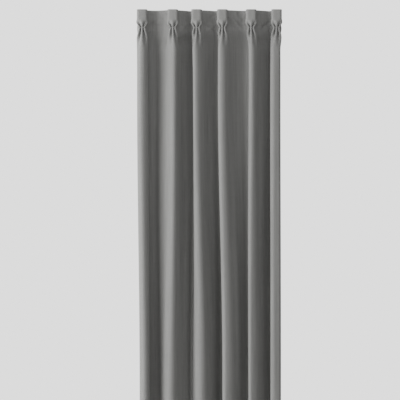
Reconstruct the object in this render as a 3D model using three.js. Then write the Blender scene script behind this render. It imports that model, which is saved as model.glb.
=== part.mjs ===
// A pinch-pleated curtain panel for a room, drawn open to its resting width.
//
// Every length is in millimetres and every angle in degrees. +X runs along the heading, towards the
// fixed end of the panel. The front faces -Y and +Z is up. The origin is the inside top of the crook
// of the fixed-end hook, which is where the panel hangs.
//
// The cloth is drawn in plan, one level at a time, by walking along it. The direction of the walk at
// each step comes from the pleats and folds, and the two flanks of each fold are turned until the
// walk ends at the next pleat. The cloth therefore has the same length at every level.
import * as THREE from 'three';

// Heading: the spacing of the six pleats at rest, from the lead edge to the fixed end.
const PLEAT_SPACING = [130, 101, 109, 122, 108];
const SPACE_CLOTH = 130;
const PLEAT_CLOTH = 98;
const EDGE_CLOTH = 16;
const HEADING_HEIGHT = 76;

// Fingers of one pleat: the bend at each tip, the bend between two fingers and the bend at the seam.
const FINGERS = 3;
const TIP_RADIUS = 4;
const BASE_RADIUS = 0.9;
const SEAM_RADIUS = 3.6;
const FAN_AT_TOP = 37;
const FAN_AT_TACK = 2;
const FAN_BELOW_TACK = 22;

// The panel as it hangs.
const FINISHED_DROP = 2134;
const FOLDS_SETTLED_AT = 400;
const LINING_SETTLED_AT = 300;
const FANNED_OUT_AT = 160;
const HEADING_ABOVE_HOOK = 10;
const FOLD_FORWARD = 41;

// Thickness of each layer and the clearances between them.
const FACE_THICKNESS = 1;
const LINING_THICKNESS = 0.5;
const TAPE_THICKNESS = 0.8;
const LAYER_GAP = 0.35;
const LINING_HANGS_BACK = 5;

// Lining and heading tape, measured down from the top of the heading and in from the side edges.
const BACK_BELOW_TOP = 4;
const LINING_ABOVE_HEM = 25;
const LINING_IN_FROM_EDGE = 10;
const TAPE_HEIGHT = 89;
const TAPE_IN_FROM_EDGE = 6;

// Pin-on hook of bent wire.
const WIRE_DIAMETER = 1.6;
const CROOK_INSIDE_RADIUS = 3.5;
const CROOK_END = 8;
const HOOK_LEG = 42;
const PIN_LEG = 34;
const PIN_INTO_PLEAT = 5;
const HOOK_CLEARANCE = 0.5;
const WIRE_SIDES = 6;

// Hand-sewn tack that gathers the three fingers.
const TACK_THREAD = 1.2;
const TACK_LEG = 7;
const TACK_CLEARANCE = 0.4;

// Weights, their pouches, the label and the swing tacks along the hem.
const WEIGHT_SIZE = 20;
const WEIGHT_THICKNESS = 2;
const WEIGHT_ABOVE_HEM = 14;
const WEIGHT_IN_FROM_EDGE = 8;
const POUCH_CLOTH = 0.4;
const POUCH_CLEARANCE = 0.35;
const POUCH_ABOVE_WEIGHT = 5;
const LABEL_WIDTH = 20;
const LABEL_HEIGHT = 38;
const LABEL_THICKNESS = 0.5;
const LABEL_ABOVE_HEM = 260;
const SWING_TACK_DIAMETER = 1.4;
const SWING_TACK_LENGTH = 30;
const SWING_TACK_ABOVE_HEM = 12;
const SWING_TACK_FOLDS = [0, 2, 4];

// Each fold between two crests: the place of its valley along the cloth, how much cloth rounds the
// crest on either side, and how much turns in the valley.
const FOLDS = [
  { valley: 0.40, roundAfter: 34, roundBefore: 95, turn: 60 },
  { valley: 0.50, roundAfter: 45, roundBefore: 34, turn: 60 },
  { valley: 0.60, roundAfter: 95, roundBefore: 34, turn: 56 },
  { valley: 0.60, roundAfter: 95, roundBefore: 34, turn: 56 },
  { valley: 0.52, roundAfter: 80, roundBefore: 80, turn: 68 },
];

// Each crest: how far it stands along X from its pleat, and how far it drifts for each metre down.
const CREST_SHIFT = [3, 0, -13, -8, -6, -9];
const CREST_DRIFT = [4, 0, 6, 13, -3, -3];
const DRIFT_STARTS_AT = 210;

// The two free edges: the turn of the cloth towards the wall, in the heading and in the folds.
const EDGES_SETTLED_AT = 220;
const LEAD_EDGE_TURN = { heading: 60, folds: 72, round: 30 };
const FIXED_EDGE_TURN = { heading: 60, folds: 74, round: 30 };

const WALK_STEP = 0.5;
const RADIANS = Math.PI / 180;
const HALF_PLEAT = PLEAT_CLOTH / 2;
const PERIOD = PLEAT_CLOTH + SPACE_CLOTH;
const PLEATS = PLEAT_SPACING.length + 1;
const FINGER_CLOTH = PLEAT_CLOTH / FINGERS;
const EDGE_TO_CREST = HALF_PLEAT + EDGE_CLOTH;
const FLAT_WIDTH = 2 * EDGE_TO_CREST + PERIOD * (PLEATS - 1);
const FINGER_LEG = (FINGER_CLOTH - Math.PI * (TIP_RADIUS + BASE_RADIUS)) / 2;
const FINGER_DEPTH = BASE_RADIUS + FINGER_LEG + TIP_RADIUS;

const FACE_BACK = FACE_THICKNESS / 2;
const LINING_FRONT = FACE_BACK + LAYER_GAP;
const LINING_BACK = LINING_FRONT + LINING_THICKNESS;
const TAPE_FRONT = LINING_BACK + LAYER_GAP;
const TAPE_BACK = TAPE_FRONT + TAPE_THICKNESS;
const TAPE_BOTTOM = BACK_BELOW_TOP + TAPE_HEIGHT;

const WIRE_RADIUS = WIRE_DIAMETER / 2;
const CROOK_RADIUS = CROOK_INSIDE_RADIUS + WIRE_RADIUS;
const PLEAT_BASE_Y = -(CROOK_RADIUS + WIRE_RADIUS + HOOK_CLEARANCE + TAPE_BACK);

const total = (list) => list.reduce((sum, value) => sum + value, 0);
const clamp01 = (value) => Math.min(1, Math.max(0, value));

// Eases from 0 at the start to 1 at the end.
function ease(start, end, value) {
  const share = clamp01((value - start) / (end - start));
  return share * share * (3 - 2 * share);
}

// Rises evenly from 0 to 1 over a length centred on a place: an arc, when it drives a direction.
const arc = (place, middle, length) => clamp01((place - middle) / length + 0.5);

// How far the folds have taken over from the pleats, from 0 in the heading to 1.
const foldShare = (drop) => ease(HEADING_HEIGHT, FOLDS_SETTLED_AT, drop);

// How far the fingers of a pleat spread, in radians.
function fanAngle(drop) {
  const inHeading = FAN_AT_TOP + (FAN_AT_TACK - FAN_AT_TOP) * ease(0, HEADING_HEIGHT, drop);
  return RADIANS * (inHeading + FAN_BELOW_TACK * ease(HEADING_HEIGHT, FANNED_OUT_AT, drop));
}

// Where the crest of each fold stands: over its pleat in the heading, then on its own line.
function crestX(pleat, drop) {
  const fromFixedEnd = -total(PLEAT_SPACING.slice(pleat));
  const drift = CREST_DRIFT[pleat] * Math.max(0, drop - DRIFT_STARTS_AT) / 1000;
  return fromFixedEnd + CREST_SHIFT[pleat] * foldShare(drop) + drift;
}

function crestY(drop) {
  const share = foldShare(drop);
  const inHeading = PLEAT_BASE_Y - FINGER_DEPTH;
  return inHeading * (1 - share) - FOLD_FORWARD * share;
}

// Direction of the cloth within a pleat, at a distance either side of the middle finger's tip.
function pleatDirection(offset, fan) {
  const away = Math.abs(offset);
  const middleTip = Math.PI * (arc(away, 0, Math.PI * TIP_RADIUS) - 0.5);
  const base = (fan - Math.PI) * arc(away, FINGER_CLOTH / 2, Math.PI * BASE_RADIUS);
  const outerTip = Math.PI * arc(away, FINGER_CLOTH, Math.PI * TIP_RADIUS);
  const seam = -(Math.PI / 2 + fan) * arc(away, HALF_PLEAT, SEAM_RADIUS);
  return Math.sign(offset) * (middleTip + base + outerTip + seam);
}

// Direction of the space between two pleats: one arc that bows back, falling evenly from 1 to -1.
function spaceBow(along) {
  const leaves = arc(along, HALF_PLEAT, SEAM_RADIUS);
  const arrives = 1 - arc(along, PERIOD - HALF_PLEAT, SEAM_RADIUS);
  return leaves * arrives * (1 - 2 * clamp01((along - HALF_PLEAT) / SPACE_CLOTH));
}

// The two flanks of a fold, each as a share of its own steepest direction.
function flanks(fold, along, share) {
  const bow = spaceBow(along);
  const valley = fold.valley * PERIOD;
  const past = ease(valley - fold.turn / 2, valley + fold.turn / 2, along);
  const leaving = Math.sin(Math.PI / 2 * clamp01(along / fold.roundAfter)) * (1 - past);
  const arriving = Math.sin(Math.PI / 2 * clamp01((PERIOD - along) / fold.roundBefore)) * past;
  return {
    back: (1 - share) * Math.max(bow, 0) + share * leaving,
    forward: (1 - share) * Math.max(-bow, 0) + share * arriving,
  };
}

// Walks along directions that are WALK_STEP or so apart, from a first point.
function walk(places, directions, x, y) {
  const points = [{ s: places[0], x, y }];
  for (let i = 1; i < places.length; i += 1) {
    const length = places[i] - places[i - 1];
    const direction = (directions[i] + directions[i - 1]) / 2;
    const last = points[i - 1];
    points.push({
      s: places[i],
      x: last.x + length * Math.cos(direction),
      y: last.y + length * Math.sin(direction),
    });
  }
  return points;
}

function evenPlaces(length) {
  const count = Math.round(length / WALK_STEP);
  return Array.from({ length: count + 1 }, (_, i) => length * i / count);
}

// One fold from crest to crest. Newton's method turns the two flanks until the walk closes.
function foldPoints(index, drop) {
  const share = foldShare(drop);
  const fan = fanAngle(drop);
  const places = evenPlaces(PERIOD);
  const sides = places.map((along) => flanks(FOLDS[index], along, share));
  const pleats = places.map((along) => {
    const offset = along <= PERIOD / 2 ? along : along - PERIOD;
    return (1 - share) * pleatDirection(offset, fan);
  });
  const startX = crestX(index, drop);
  const startY = crestY(drop);
  const targetX = crestX(index + 1, drop);
  const draw = (back, forward) => {
    const directions = places.map(
      (_, i) => pleats[i] + back * sides[i].back - forward * sides[i].forward,
    );
    return walk(places, directions, startX, startY);
  };
  const miss = (points) => {
    const end = points[points.length - 1];
    return [end.x - targetX, end.y - startY];
  };
  let back = 1.2;
  let forward = 1.2;
  const nudge = 1e-5;
  const longestTurn = 0.25;
  for (let round = 0; round < 40; round += 1) {
    const here = miss(draw(back, forward));
    if (Math.hypot(...here) < 1e-7) break;
    const byBack = miss(draw(back + nudge, forward)).map((v, i) => (v - here[i]) / nudge);
    const byForward = miss(draw(back, forward + nudge)).map((v, i) => (v - here[i]) / nudge);
    const det = byBack[0] * byForward[1] - byBack[1] * byForward[0];
    const turnBack = (here[1] * byForward[0] - here[0] * byForward[1]) / det;
    const turnForward = (here[0] * byBack[1] - here[1] * byBack[0]) / det;
    back += Math.max(-longestTurn, Math.min(longestTurn, turnBack));
    forward += Math.max(-longestTurn, Math.min(longestTurn, turnForward));
  }
  return draw(back, forward);
}

// A free edge: the half pleat and the margin beyond the outermost crest, walked away from it.
function edgePoints(turns, drop) {
  const share = foldShare(drop);
  const edgeShare = ease(HEADING_HEIGHT, EDGES_SETTLED_AT, drop);
  const steepest = RADIANS * (turns.heading + (turns.folds - turns.heading) * share);
  const places = evenPlaces(EDGE_TO_CREST);
  const directions = places.map((away) => {
    const inHeading = arc(away, HALF_PLEAT, SEAM_RADIUS);
    const inFolds = Math.sin(Math.PI / 2 * clamp01(away / turns.round));
    const turn = (1 - share) * inHeading + edgeShare * inFolds;
    return (1 - share) * pleatDirection(away, fanAngle(drop)) + steepest * turn;
  });
  return walk(places, directions, 0, 0);
}

// The whole cloth in plan at one level, as points with their distance along it from the lead edge.
function planCurve(drop) {
  const y = crestY(drop);
  const lead = edgePoints(LEAD_EDGE_TURN, drop).reverse().map((point) => ({
    s: EDGE_TO_CREST - point.s,
    x: crestX(0, drop) - point.x,
    y: y + point.y,
  }));
  const curve = [...lead];
  FOLDS.forEach((_, index) => {
    const start = EDGE_TO_CREST + PERIOD * index;
    const fold = foldPoints(index, drop).slice(1);
    fold.forEach((point) => curve.push({ s: start + point.s, x: point.x, y: point.y }));
  });
  const fixed = edgePoints(FIXED_EDGE_TURN, drop).slice(1);
  fixed.forEach((point) => curve.push({
    s: FLAT_WIDTH - EDGE_TO_CREST + point.s,
    x: crestX(PLEATS - 1, drop) + point.x,
    y: y + point.y,
  }));
  return curve;
}

const curves = new Map();
function curveAt(drop) {
  if (!curves.has(drop)) curves.set(drop, planCurve(drop));
  return curves.get(drop);
}

// The point of a plan curve at a distance along the cloth.
function pointAt(curve, s) {
  let low = 0;
  let high = curve.length - 1;
  while (high - low > 1) {
    const middle = Math.floor((low + high) / 2);
    if (curve[middle].s <= s) low = middle;
    else high = middle;
  }
  const share = (s - curve[low].s) / (curve[high].s - curve[low].s);
  return {
    x: curve[low].x + share * (curve[high].x - curve[low].x),
    y: curve[low].y + share * (curve[high].y - curve[low].y),
  };
}

// Places along the cloth where a level has its points. The fine ones follow each bend of each
// finger, and the broad ones are enough for the folds below. The edges of the layers are among both.
const TIP_BEND = Math.PI * TIP_RADIUS / 2;
const BASE_BEND = Math.PI * BASE_RADIUS / 2;
const SEAM_BEND = SEAM_RADIUS / 2;
const BROAD_PLACES = [
  TIP_BEND / 3,
  FINGER_CLOTH / 2 - BASE_BEND,
  FINGER_CLOTH - TIP_BEND,
  FINGER_CLOTH + TIP_BEND,
];
const FINE_PLACES = [
  ...BROAD_PLACES,
  TIP_BEND,
  FINGER_CLOTH / 2 + BASE_BEND,
  FINGER_CLOTH - TIP_BEND / 3,
  FINGER_CLOTH + TIP_BEND / 3,
  HALF_PLEAT - SEAM_BEND,
  HALF_PLEAT + SEAM_BEND,
];
const POINTS_BESIDE_VALLEY = 2;

function clothPlaces(pleatPlaces) {
  const edges = [TAPE_IN_FROM_EDGE, LINING_IN_FROM_EDGE];
  const places = [...edges, ...edges.map((edge) => FLAT_WIDTH - edge)];
  for (let pleat = 0; pleat < PLEATS; pleat += 1) {
    const crest = EDGE_TO_CREST + PERIOD * pleat;
    pleatPlaces.forEach((place) => places.push(crest - place, crest + place));
    if (pleat === PLEATS - 1) break;
    const valley = crest + FOLDS[pleat].valley * PERIOD;
    const leaves = crest + HALF_PLEAT;
    const arrives = crest + PERIOD - HALF_PLEAT;
    places.push(valley);
    for (let i = 1; i <= POINTS_BESIDE_VALLEY; i += 1) {
      const share = i / (POINTS_BESIDE_VALLEY + 1);
      places.push(leaves + (valley - leaves) * share, valley + (arrives - valley) * share);
    }
  }
  return places.sort((a, b) => a - b);
}

const PLACES = { fine: clothPlaces(FINE_PLACES), broad: clothPlaces(BROAD_PLACES) };

// Points of one level of a sheet, with the direction behind the cloth at each. Adjoining stretches
// share a mitre, so that a layer keeps its distance from the next one round every bend.
function levelPoints(drop, detail, from, to) {
  const inside = PLACES[detail].filter((s) => s > from + 1 && s < to - 1);
  const places = [from, ...inside, to];
  const points = places.map((s) => pointAt(curveAt(drop), s));
  const normals = points.slice(1).map((point, i) => {
    const x = point.x - points[i].x;
    const y = point.y - points[i].y;
    const length = Math.hypot(x, y);
    return { x: -y / length, y: x / length };
  });
  return points.map((point, i) => {
    const before = normals[Math.max(0, i - 1)];
    const after = normals[Math.min(normals.length - 1, i)];
    const scale = 1 / (1 + before.x * after.x + before.y * after.y);
    return {
      s: places[i],
      x: point.x,
      y: point.y,
      behindX: (before.x + after.x) * scale,
      behindY: (before.y + after.y) * scale,
    };
  });
}

const levelZ = (drop) => HEADING_ABOVE_HOOK - drop;

// A closed sheet of cloth between two sides and through the given levels.
function sheetGeometry(levels, from, to) {
  const positions = [];
  const faces = [];
  const rows = levels.map(({ drop, detail, front, back }) => {
    const points = levelPoints(drop, detail, from, to);
    const place = (depth) => points.map((point) => {
      positions.push(point.x + point.behindX * depth, point.y + point.behindY * depth, levelZ(drop));
      return positions.length / 3 - 1;
    });
    return { s: points.map((point) => point.s), front: place(front), back: place(back) };
  });
  // Joins two levels of one surface, stepping along whichever has the nearer next point.
  const stitch = (upper, lower, upperS, lowerS, flip) => {
    let i = 0;
    let j = 0;
    while (i < upper.length - 1 || j < lower.length - 1) {
      const upperNext = i < upper.length - 1 ? upperS[i + 1] : Infinity;
      const lowerNext = j < lower.length - 1 ? lowerS[j + 1] : Infinity;
      let third;
      const a = upper[i];
      const b = lower[j];
      if (upperNext <= lowerNext) {
        i += 1;
        third = upper[i];
      } else {
        j += 1;
        third = lower[j];
      }
      if (flip) faces.push(a, third, b);
      else faces.push(a, b, third);
    }
  };
  const quad = (a, b, c, d) => faces.push(a, b, c, a, c, d);
  rows.slice(1).forEach((row, i) => {
    const above = rows[i];
    stitch(above.front, row.front, above.s, row.s, false);
    stitch(above.back, row.back, above.s, row.s, true);
    const lastAbove = above.s.length - 1;
    const last = row.s.length - 1;
    quad(above.back[0], row.back[0], row.front[0], above.front[0]);
    quad(above.front[lastAbove], row.front[last], row.back[last], above.back[lastAbove]);
  });
  const top = rows[0];
  const bottom = rows[rows.length - 1];
  top.s.slice(1).forEach((_, i) => {
    quad(top.front[i], top.front[i + 1], top.back[i + 1], top.back[i]);
  });
  bottom.s.slice(1).forEach((_, i) => {
    quad(bottom.back[i], bottom.back[i + 1], bottom.front[i + 1], bottom.front[i]);
  });
  const geometry = new THREE.BufferGeometry();
  geometry.setAttribute('position', new THREE.Float32BufferAttribute(positions, 3));
  geometry.setIndex(faces);
  return geometry;
}

// How far the lining hangs behind its place against the face fabric.
function liningHang(drop) {
  return LINING_HANGS_BACK * ease(TAPE_BOTTOM, LINING_SETTLED_AT, drop);
}

// Every layer has its points at the same levels, so that no two layers meet between them.
const HEADING_LEVELS = [
  { drop: BACK_BELOW_TOP, detail: 'fine' },
  { drop: HEADING_HEIGHT, detail: 'fine' },
  { drop: TAPE_BOTTOM, detail: 'fine' },
];
const FOLD_LEVELS = [
  { drop: 140, detail: 'fine' },
  { drop: 200, detail: 'fine' },
  { drop: FOLDS_SETTLED_AT, detail: 'broad' },
  { drop: 950, detail: 'broad' },
  { drop: 1550, detail: 'broad' },
];

function faceGeometry() {
  const layer = { front: -FACE_THICKNESS / 2, back: FACE_BACK };
  const levels = [
    { drop: 0, detail: 'fine' },
    ...HEADING_LEVELS,
    ...FOLD_LEVELS,
    { drop: FINISHED_DROP, detail: 'broad' },
  ];
  return sheetGeometry(levels.map((level) => ({ ...level, ...layer })), 0, FLAT_WIDTH);
}

function liningGeometry() {
  const levels = [
    ...HEADING_LEVELS,
    ...FOLD_LEVELS,
    { drop: FINISHED_DROP - LINING_ABOVE_HEM, detail: 'broad' },
  ];
  const layered = levels.map((level) => ({
    ...level,
    front: LINING_FRONT + liningHang(level.drop),
    back: LINING_BACK + liningHang(level.drop),
  }));
  return sheetGeometry(layered, LINING_IN_FROM_EDGE, FLAT_WIDTH - LINING_IN_FROM_EDGE);
}

function tapeGeometry() {
  const layer = { front: TAPE_FRONT, back: TAPE_BACK };
  const levels = HEADING_LEVELS.map((level) => ({ ...level, ...layer }));
  return sheetGeometry(levels, TAPE_IN_FROM_EDGE, FLAT_WIDTH - TAPE_IN_FROM_EDGE);
}

// A path of straight runs and bends. Each piece has its own number of steps, one for a straight run.
class BentPath extends THREE.Curve {
  constructor(pieces) {
    super();
    this.pieces = pieces;
    this.stepCount = total(pieces.map((piece) => piece.steps));
  }

  getUtoTmapping(u) {
    return u;
  }

  getPoint(t, target = new THREE.Vector3()) {
    let steps = t * this.stepCount;
    for (const [index, piece] of this.pieces.entries()) {
      const isLast = index === this.pieces.length - 1;
      if (steps <= piece.steps || isLast) return piece.at(steps / piece.steps, target);
      steps -= piece.steps;
    }
    return target;
  }
}

function straight(start, end) {
  return { steps: 1, at: (share, target) => target.lerpVectors(start, end, share) };
}

// A bend in the plane of two directions: it leaves the first and reaches the second.
function bend(centre, first, second, radius, angle, steps) {
  const at = (share, target) => {
    const turned = angle * share;
    return target.copy(centre)
      .addScaledVector(first, radius * Math.cos(turned))
      .addScaledVector(second, radius * Math.sin(turned));
  };
  return { steps, at };
}

function rodGeometry(path, diameter, sides) {
  const section = new THREE.Shape();
  for (let i = 0; i < sides; i += 1) {
    const turned = 2 * Math.PI * (i + 0.5) / sides;
    const x = diameter / 2 * Math.cos(turned);
    const y = diameter / 2 * Math.sin(turned);
    if (i === 0) section.moveTo(x, y);
    else section.lineTo(x, y);
  }
  section.closePath();
  return new THREE.ExtrudeGeometry(section, {
    steps: path.stepCount,
    extrudePath: path,
    bevelEnabled: false,
    curveSegments: 1,
  });
}

// The hook in its own plane: the crook opens downwards behind, and the pin stands up in the pleat.
function hookGeometry() {
  const up = new THREE.Vector3(0, 0, 1);
  const front = new THREE.Vector3(0, -1, 0);
  const back = new THREE.Vector3(0, 1, 0);
  const down = new THREE.Vector3(0, 0, -1);
  const crookCentre = new THREE.Vector3(0, 0, -CROOK_INSIDE_RADIUS);
  const pinY = PLEAT_BASE_Y - PIN_INTO_PLEAT;
  const legY = -CROOK_RADIUS;
  const lowBendRadius = (legY - pinY) / 2;
  const lowZ = crookCentre.z - HOOK_LEG;
  const lowCentre = new THREE.Vector3(0, (legY + pinY) / 2, lowZ);
  const bendSteps = 6;
  const path = new BentPath([
    straight(
      new THREE.Vector3(0, CROOK_RADIUS, crookCentre.z - CROOK_END),
      new THREE.Vector3(0, CROOK_RADIUS, crookCentre.z),
    ),
    bend(crookCentre, back, up, CROOK_RADIUS, Math.PI, bendSteps),
    straight(new THREE.Vector3(0, legY, crookCentre.z), new THREE.Vector3(0, legY, lowZ)),
    bend(lowCentre, back, down, lowBendRadius, Math.PI, bendSteps),
    straight(
      lowCentre.clone().addScaledVector(front, lowBendRadius),
      new THREE.Vector3(0, pinY, lowZ + PIN_LEG),
    ),
  ]);
  return rodGeometry(path, WIRE_DIAMETER, WIRE_SIDES);
}

// A bar of thread across the three finger tips, with a short leg back along each outer finger.
function tackGeometry() {
  const faceFront = FACE_THICKNESS / 2;
  const standOff = faceFront + TACK_CLEARANCE + TACK_THREAD / 2;
  const fan = fanAngle(HEADING_HEIGHT);
  const middleToBase = TIP_RADIUS + BASE_RADIUS;
  const outerTipX = middleToBase * (1 + Math.cos(fan)) + (FINGER_LEG + TIP_RADIUS) * Math.sin(fan);
  const cornerRadius = TIP_RADIUS + standOff;
  const left = new THREE.Vector3(-1, 0, 0);
  const right = new THREE.Vector3(1, 0, 0);
  const front = new THREE.Vector3(0, -1, 0);
  const barY = PLEAT_BASE_Y - FINGER_DEPTH - standOff;
  const cornerY = barY + cornerRadius;
  const sideX = outerTipX + cornerRadius;
  const cornerSteps = 4;
  const path = new BentPath([
    straight(new THREE.Vector3(-sideX, cornerY + TACK_LEG, 0), new THREE.Vector3(-sideX, cornerY, 0)),
    bend(new THREE.Vector3(-outerTipX, cornerY, 0), left, front, cornerRadius, Math.PI / 2, cornerSteps),
    straight(new THREE.Vector3(-outerTipX, barY, 0), new THREE.Vector3(outerTipX, barY, 0)),
    bend(new THREE.Vector3(outerTipX, cornerY, 0), front, right, cornerRadius, Math.PI / 2, cornerSteps),
    straight(new THREE.Vector3(sideX, cornerY, 0), new THREE.Vector3(sideX, cornerY + TACK_LEG, 0)),
  ]);
  const threadSides = 6;
  return rodGeometry(path, TACK_THREAD, threadSides);
}

// The place and turn of a small flat piece that lies behind the cloth at a distance along it.
function behindCloth(s, drop, depth) {
  const reach = 2;
  const before = pointAt(curveAt(drop), s - reach);
  const after = pointAt(curveAt(drop), s + reach);
  const turned = Math.atan2(after.y - before.y, after.x - before.x);
  const middle = pointAt(curveAt(drop), s);
  return {
    x: middle.x - Math.sin(turned) * depth,
    y: middle.y + Math.cos(turned) * depth,
    z: levelZ(drop),
    turned,
  };
}

function put(mesh, place) {
  mesh.position.set(place.x, place.y, place.z);
  mesh.rotation.z = place.turned;
  return mesh;
}

// A strip of cloth folded under the weight, open at the top and sewn down each side.
function pouchGeometry() {
  const inside = WEIGHT_THICKNESS + 2 * POUCH_CLEARANCE;
  const outside = inside + 2 * POUCH_CLOTH;
  const low = -WEIGHT_SIZE / 2 - POUCH_CLEARANCE;
  const high = WEIGHT_SIZE / 2 + POUCH_ABOVE_WEIGHT;
  const section = new THREE.Shape([
    new THREE.Vector2(-outside / 2, high),
    new THREE.Vector2(-outside / 2, low - POUCH_CLOTH),
    new THREE.Vector2(outside / 2, low - POUCH_CLOTH),
    new THREE.Vector2(outside / 2, high),
    new THREE.Vector2(inside / 2, high),
    new THREE.Vector2(inside / 2, low),
    new THREE.Vector2(-inside / 2, low),
    new THREE.Vector2(-inside / 2, high),
  ]);
  const width = WEIGHT_SIZE + 4;
  const geometry = new THREE.ExtrudeGeometry(section, { depth: width, bevelEnabled: false });
  geometry.translate(0, 0, -width / 2);
  // The section was drawn in thickness and height: stand it up and run its width along the cloth.
  const toCloth = new THREE.Matrix4().makeBasis(
    new THREE.Vector3(0, 1, 0),
    new THREE.Vector3(0, 0, 1),
    new THREE.Vector3(1, 0, 0),
  );
  return geometry.applyMatrix4(toCloth);
}

const faceCloth = new THREE.MeshStandardMaterial({ color: 0x9c9c9a, roughness: 0.85, metalness: 0 });
const liningCloth = new THREE.MeshStandardMaterial({ color: 0xe4e2dc, roughness: 0.9, metalness: 0 });
const buckram = new THREE.MeshStandardMaterial({ color: 0xf2f1ec, roughness: 0.8, metalness: 0 });
const steel = new THREE.MeshStandardMaterial({ color: 0xb8bbbd, roughness: 0.3, metalness: 1 });
const thread = new THREE.MeshStandardMaterial({ color: 0x8d8d8b, roughness: 0.7, metalness: 0 });
const whiteThread = new THREE.MeshStandardMaterial({ color: 0xe8e6e0, roughness: 0.7, metalness: 0 });
const castZinc = new THREE.MeshStandardMaterial({ color: 0x7d8084, roughness: 0.5, metalness: 1 });
const satin = new THREE.MeshStandardMaterial({ color: 0xf4f4f0, roughness: 0.45, metalness: 0 });

function piece(name, geometry, material) {
  const mesh = new THREE.Mesh(geometry, material);
  mesh.name = name;
  return mesh;
}

const panel = new THREE.Group();
panel.add(piece('face_fabric', faceGeometry(), faceCloth));
panel.add(piece('lining', liningGeometry(), liningCloth));
panel.add(piece('heading_tape', tapeGeometry(), buckram));

// Each pleat carries its hook and its tack, counted from the lead edge.
for (let pleat = 0; pleat < PLEATS; pleat += 1) {
  const station = new THREE.Group();
  station.position.x = crestX(pleat, 0);
  const tack = piece(`pleat_tack_${pleat + 1}`, tackGeometry(), thread);
  tack.position.z = levelZ(HEADING_HEIGHT);
  station.add(piece(`drapery_hook_${pleat + 1}`, hookGeometry(), steel));
  station.add(tack);
  panel.add(station);
}

// A weight in its pouch at each bottom corner.
const pouchDepth = WEIGHT_THICKNESS / 2 + POUCH_CLEARANCE + POUCH_CLOTH + LAYER_GAP + FACE_BACK;
const weightDrop = FINISHED_DROP - WEIGHT_ABOVE_HEM - WEIGHT_SIZE / 2;
const weightEdge = WEIGHT_IN_FROM_EDGE + WEIGHT_SIZE / 2;
[['left', weightEdge], ['right', FLAT_WIDTH - weightEdge]].forEach(([side, s]) => {
  const place = behindCloth(s, weightDrop, pouchDepth);
  const plate = new THREE.BoxGeometry(WEIGHT_SIZE, WEIGHT_THICKNESS, WEIGHT_SIZE);
  panel.add(put(piece(`hem_weight_${side}`, plate, castZinc), place));
  panel.add(put(piece(`weight_pouch_${side}`, pouchGeometry(), liningCloth), place));
});

// The blank label, sewn to the back of the lining near the lead edge.
const labelDrop = FINISHED_DROP - LABEL_ABOVE_HEM;
const labelDepth = LINING_BACK + liningHang(labelDrop) + LAYER_GAP + LABEL_THICKNESS / 2;
const labelPlace = behindCloth(LINING_IN_FROM_EDGE + LABEL_WIDTH / 2, labelDrop, labelDepth);
const labelPlate = new THREE.BoxGeometry(LABEL_WIDTH, LABEL_THICKNESS, LABEL_HEIGHT);
panel.add(put(piece('care_label', labelPlate, satin), labelPlace));

// Thread chains that tie the lining to the hem, in the gap between the two.
const swingDepth = FACE_BACK + (LAYER_GAP + LINING_HANGS_BACK) / 2;
const swingDrop = FINISHED_DROP - SWING_TACK_ABOVE_HEM - SWING_TACK_LENGTH / 2;
SWING_TACK_FOLDS.forEach((fold, index) => {
  const s = EDGE_TO_CREST + PERIOD * (fold + FOLDS[fold].valley);
  const chain = new THREE.CylinderGeometry(
    SWING_TACK_DIAMETER / 2,
    SWING_TACK_DIAMETER / 2,
    SWING_TACK_LENGTH,
    6,
  );
  chain.rotateX(Math.PI / 2);
  const place = behindCloth(s, swingDrop, swingDepth);
  panel.add(put(piece(`swing_tack_${index + 1}`, chain, whiteThread), place));
});

export default panel;
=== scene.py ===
# %% [markdown]
# # A pinch-pleated curtain panel
#
# The panel is one wide piece of cloth, gathered at the top into six pinch pleats. A stiff tape holds
# the heading upright, a lining hangs behind, and six wire hooks carry it all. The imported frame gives
# the joints and the places of the hooks. This script makes the cloth, the sewing and every finish.

# %% Frame
import bpy
import numpy as np
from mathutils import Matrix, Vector


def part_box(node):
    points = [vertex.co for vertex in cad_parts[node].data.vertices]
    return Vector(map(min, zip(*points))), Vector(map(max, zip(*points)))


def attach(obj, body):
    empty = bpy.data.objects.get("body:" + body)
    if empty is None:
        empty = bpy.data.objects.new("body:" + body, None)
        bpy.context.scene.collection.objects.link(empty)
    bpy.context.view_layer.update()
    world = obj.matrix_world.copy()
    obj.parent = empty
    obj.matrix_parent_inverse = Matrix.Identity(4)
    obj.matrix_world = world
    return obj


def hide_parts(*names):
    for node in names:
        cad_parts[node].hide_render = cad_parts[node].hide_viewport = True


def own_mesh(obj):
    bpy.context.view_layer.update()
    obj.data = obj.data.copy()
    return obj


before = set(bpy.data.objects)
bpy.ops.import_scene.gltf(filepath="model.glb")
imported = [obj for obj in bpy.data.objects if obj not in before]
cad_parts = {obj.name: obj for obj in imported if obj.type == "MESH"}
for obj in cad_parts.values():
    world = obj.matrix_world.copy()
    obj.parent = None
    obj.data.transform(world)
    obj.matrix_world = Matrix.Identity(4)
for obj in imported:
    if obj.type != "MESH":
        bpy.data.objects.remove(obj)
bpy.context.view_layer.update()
MM = 0.001

# %% [markdown]
# The panel is seen square on, from a few metres back, through a long lens. A long lens keeps the
# folds from spreading towards the sides. The view starts just above the heading and ends above the
# hem, so the camera stands level with the middle of what it shows.

# %% Camera
CAMERA_DISTANCE = 6.0
FIELD_WIDTH = 1.70
SENSOR = 36.0
CAMERA_X, CAMERA_Z = -0.3245, -0.797


def place_camera():
    camera = bpy.data.objects.new("camera", bpy.data.cameras.new("camera"))
    bpy.context.collection.objects.link(camera)
    camera.data.sensor_width = SENSOR
    camera.data.lens = SENSOR * CAMERA_DISTANCE / FIELD_WIDTH
    camera.location = (CAMERA_X, -CAMERA_DISTANCE, CAMERA_Z)
    camera.rotation_euler = (np.pi / 2, 0, 0)
    bpy.context.scene.camera = camera
    return camera


camera = place_camera()
print("lens", round(camera.data.lens), "mm")

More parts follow.
